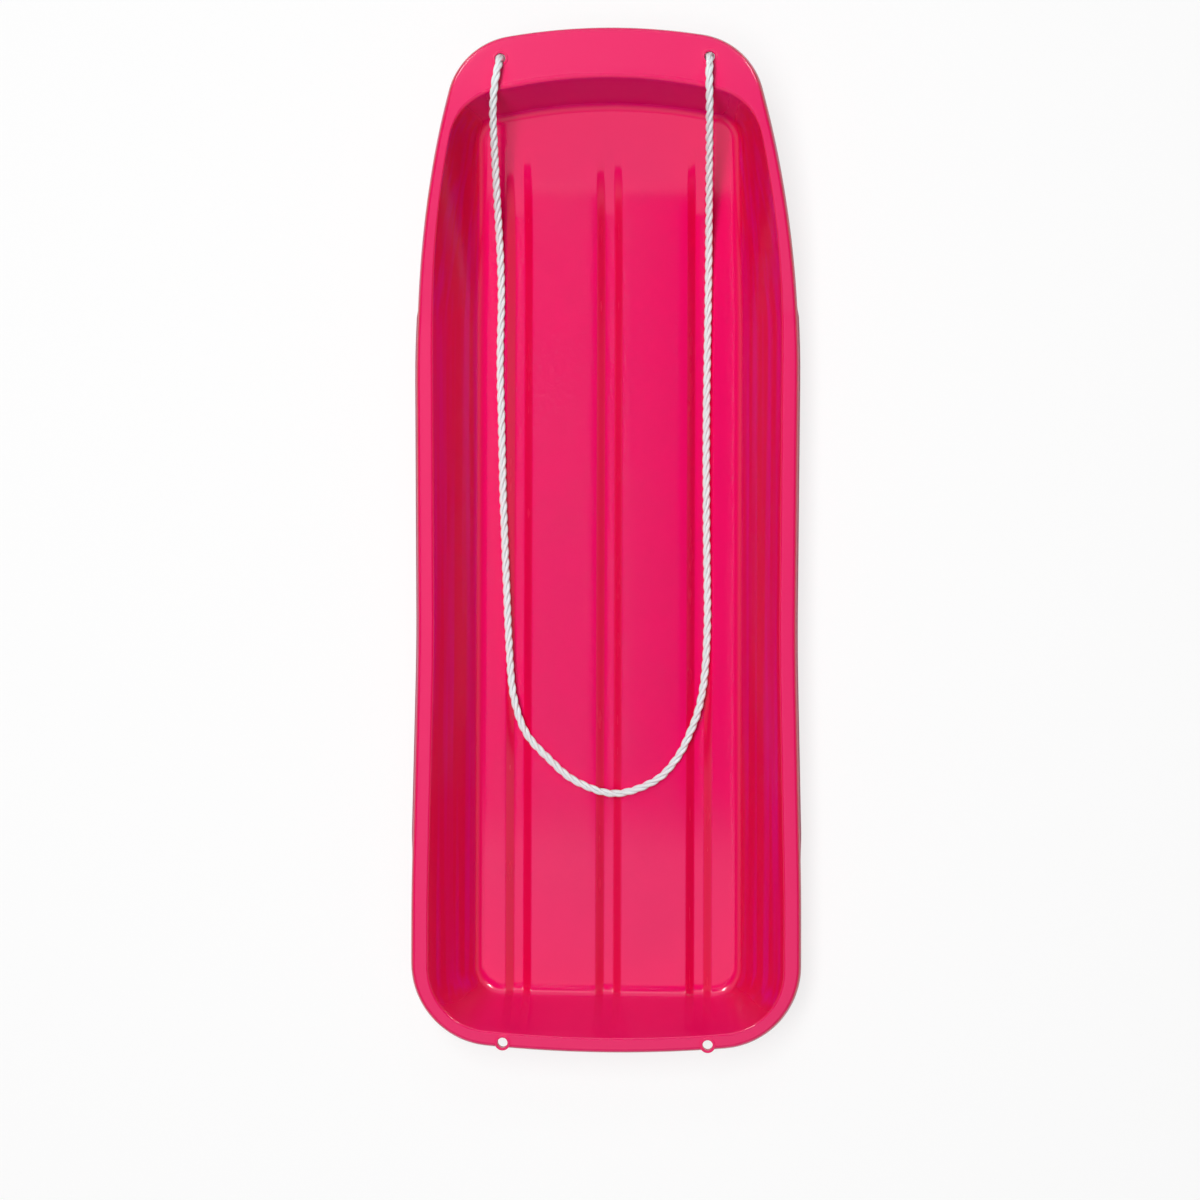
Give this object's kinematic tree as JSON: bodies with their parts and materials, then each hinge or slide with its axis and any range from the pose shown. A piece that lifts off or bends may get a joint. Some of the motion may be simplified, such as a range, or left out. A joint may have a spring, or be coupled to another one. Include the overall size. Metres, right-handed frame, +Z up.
{
  "type": "toboggan",
  "caption": "Moulded plastic toboggan with a raised nose deck, a grooved floor and a knotted tow rope loop lying in the tub.",
  "frame": {"origin": "on the ground, under the middle of the moulding", "axes": "+Y towards the nose, +Z up, +X to the right of somebody sitting in it"},
  "size_m": [0.47, 1.2192, 0.1631],
  "materials": {
    "pink_polyethylene": "glossy moulded polyethylene, hot pink all through",
    "white_rope": "twisted three-strand polypropylene rope, slightly shiny"
  },
  "bodies": {
    "sled": {"hull": "pink_polyethylene", "left_knot": "white_rope", "right_knot": "white_rope"},
    "rope_loop": {"tow_rope": "white_rope"}
  },
  "joints": [
    {"name": "rope_swing", "type": "hinge", "parent": "sled", "child": "rope_loop", "pos_m": [0, 0.5715, 0.1525], "axis": [-1, 0, 0], "range_deg": [0, 150]}
  ]
}
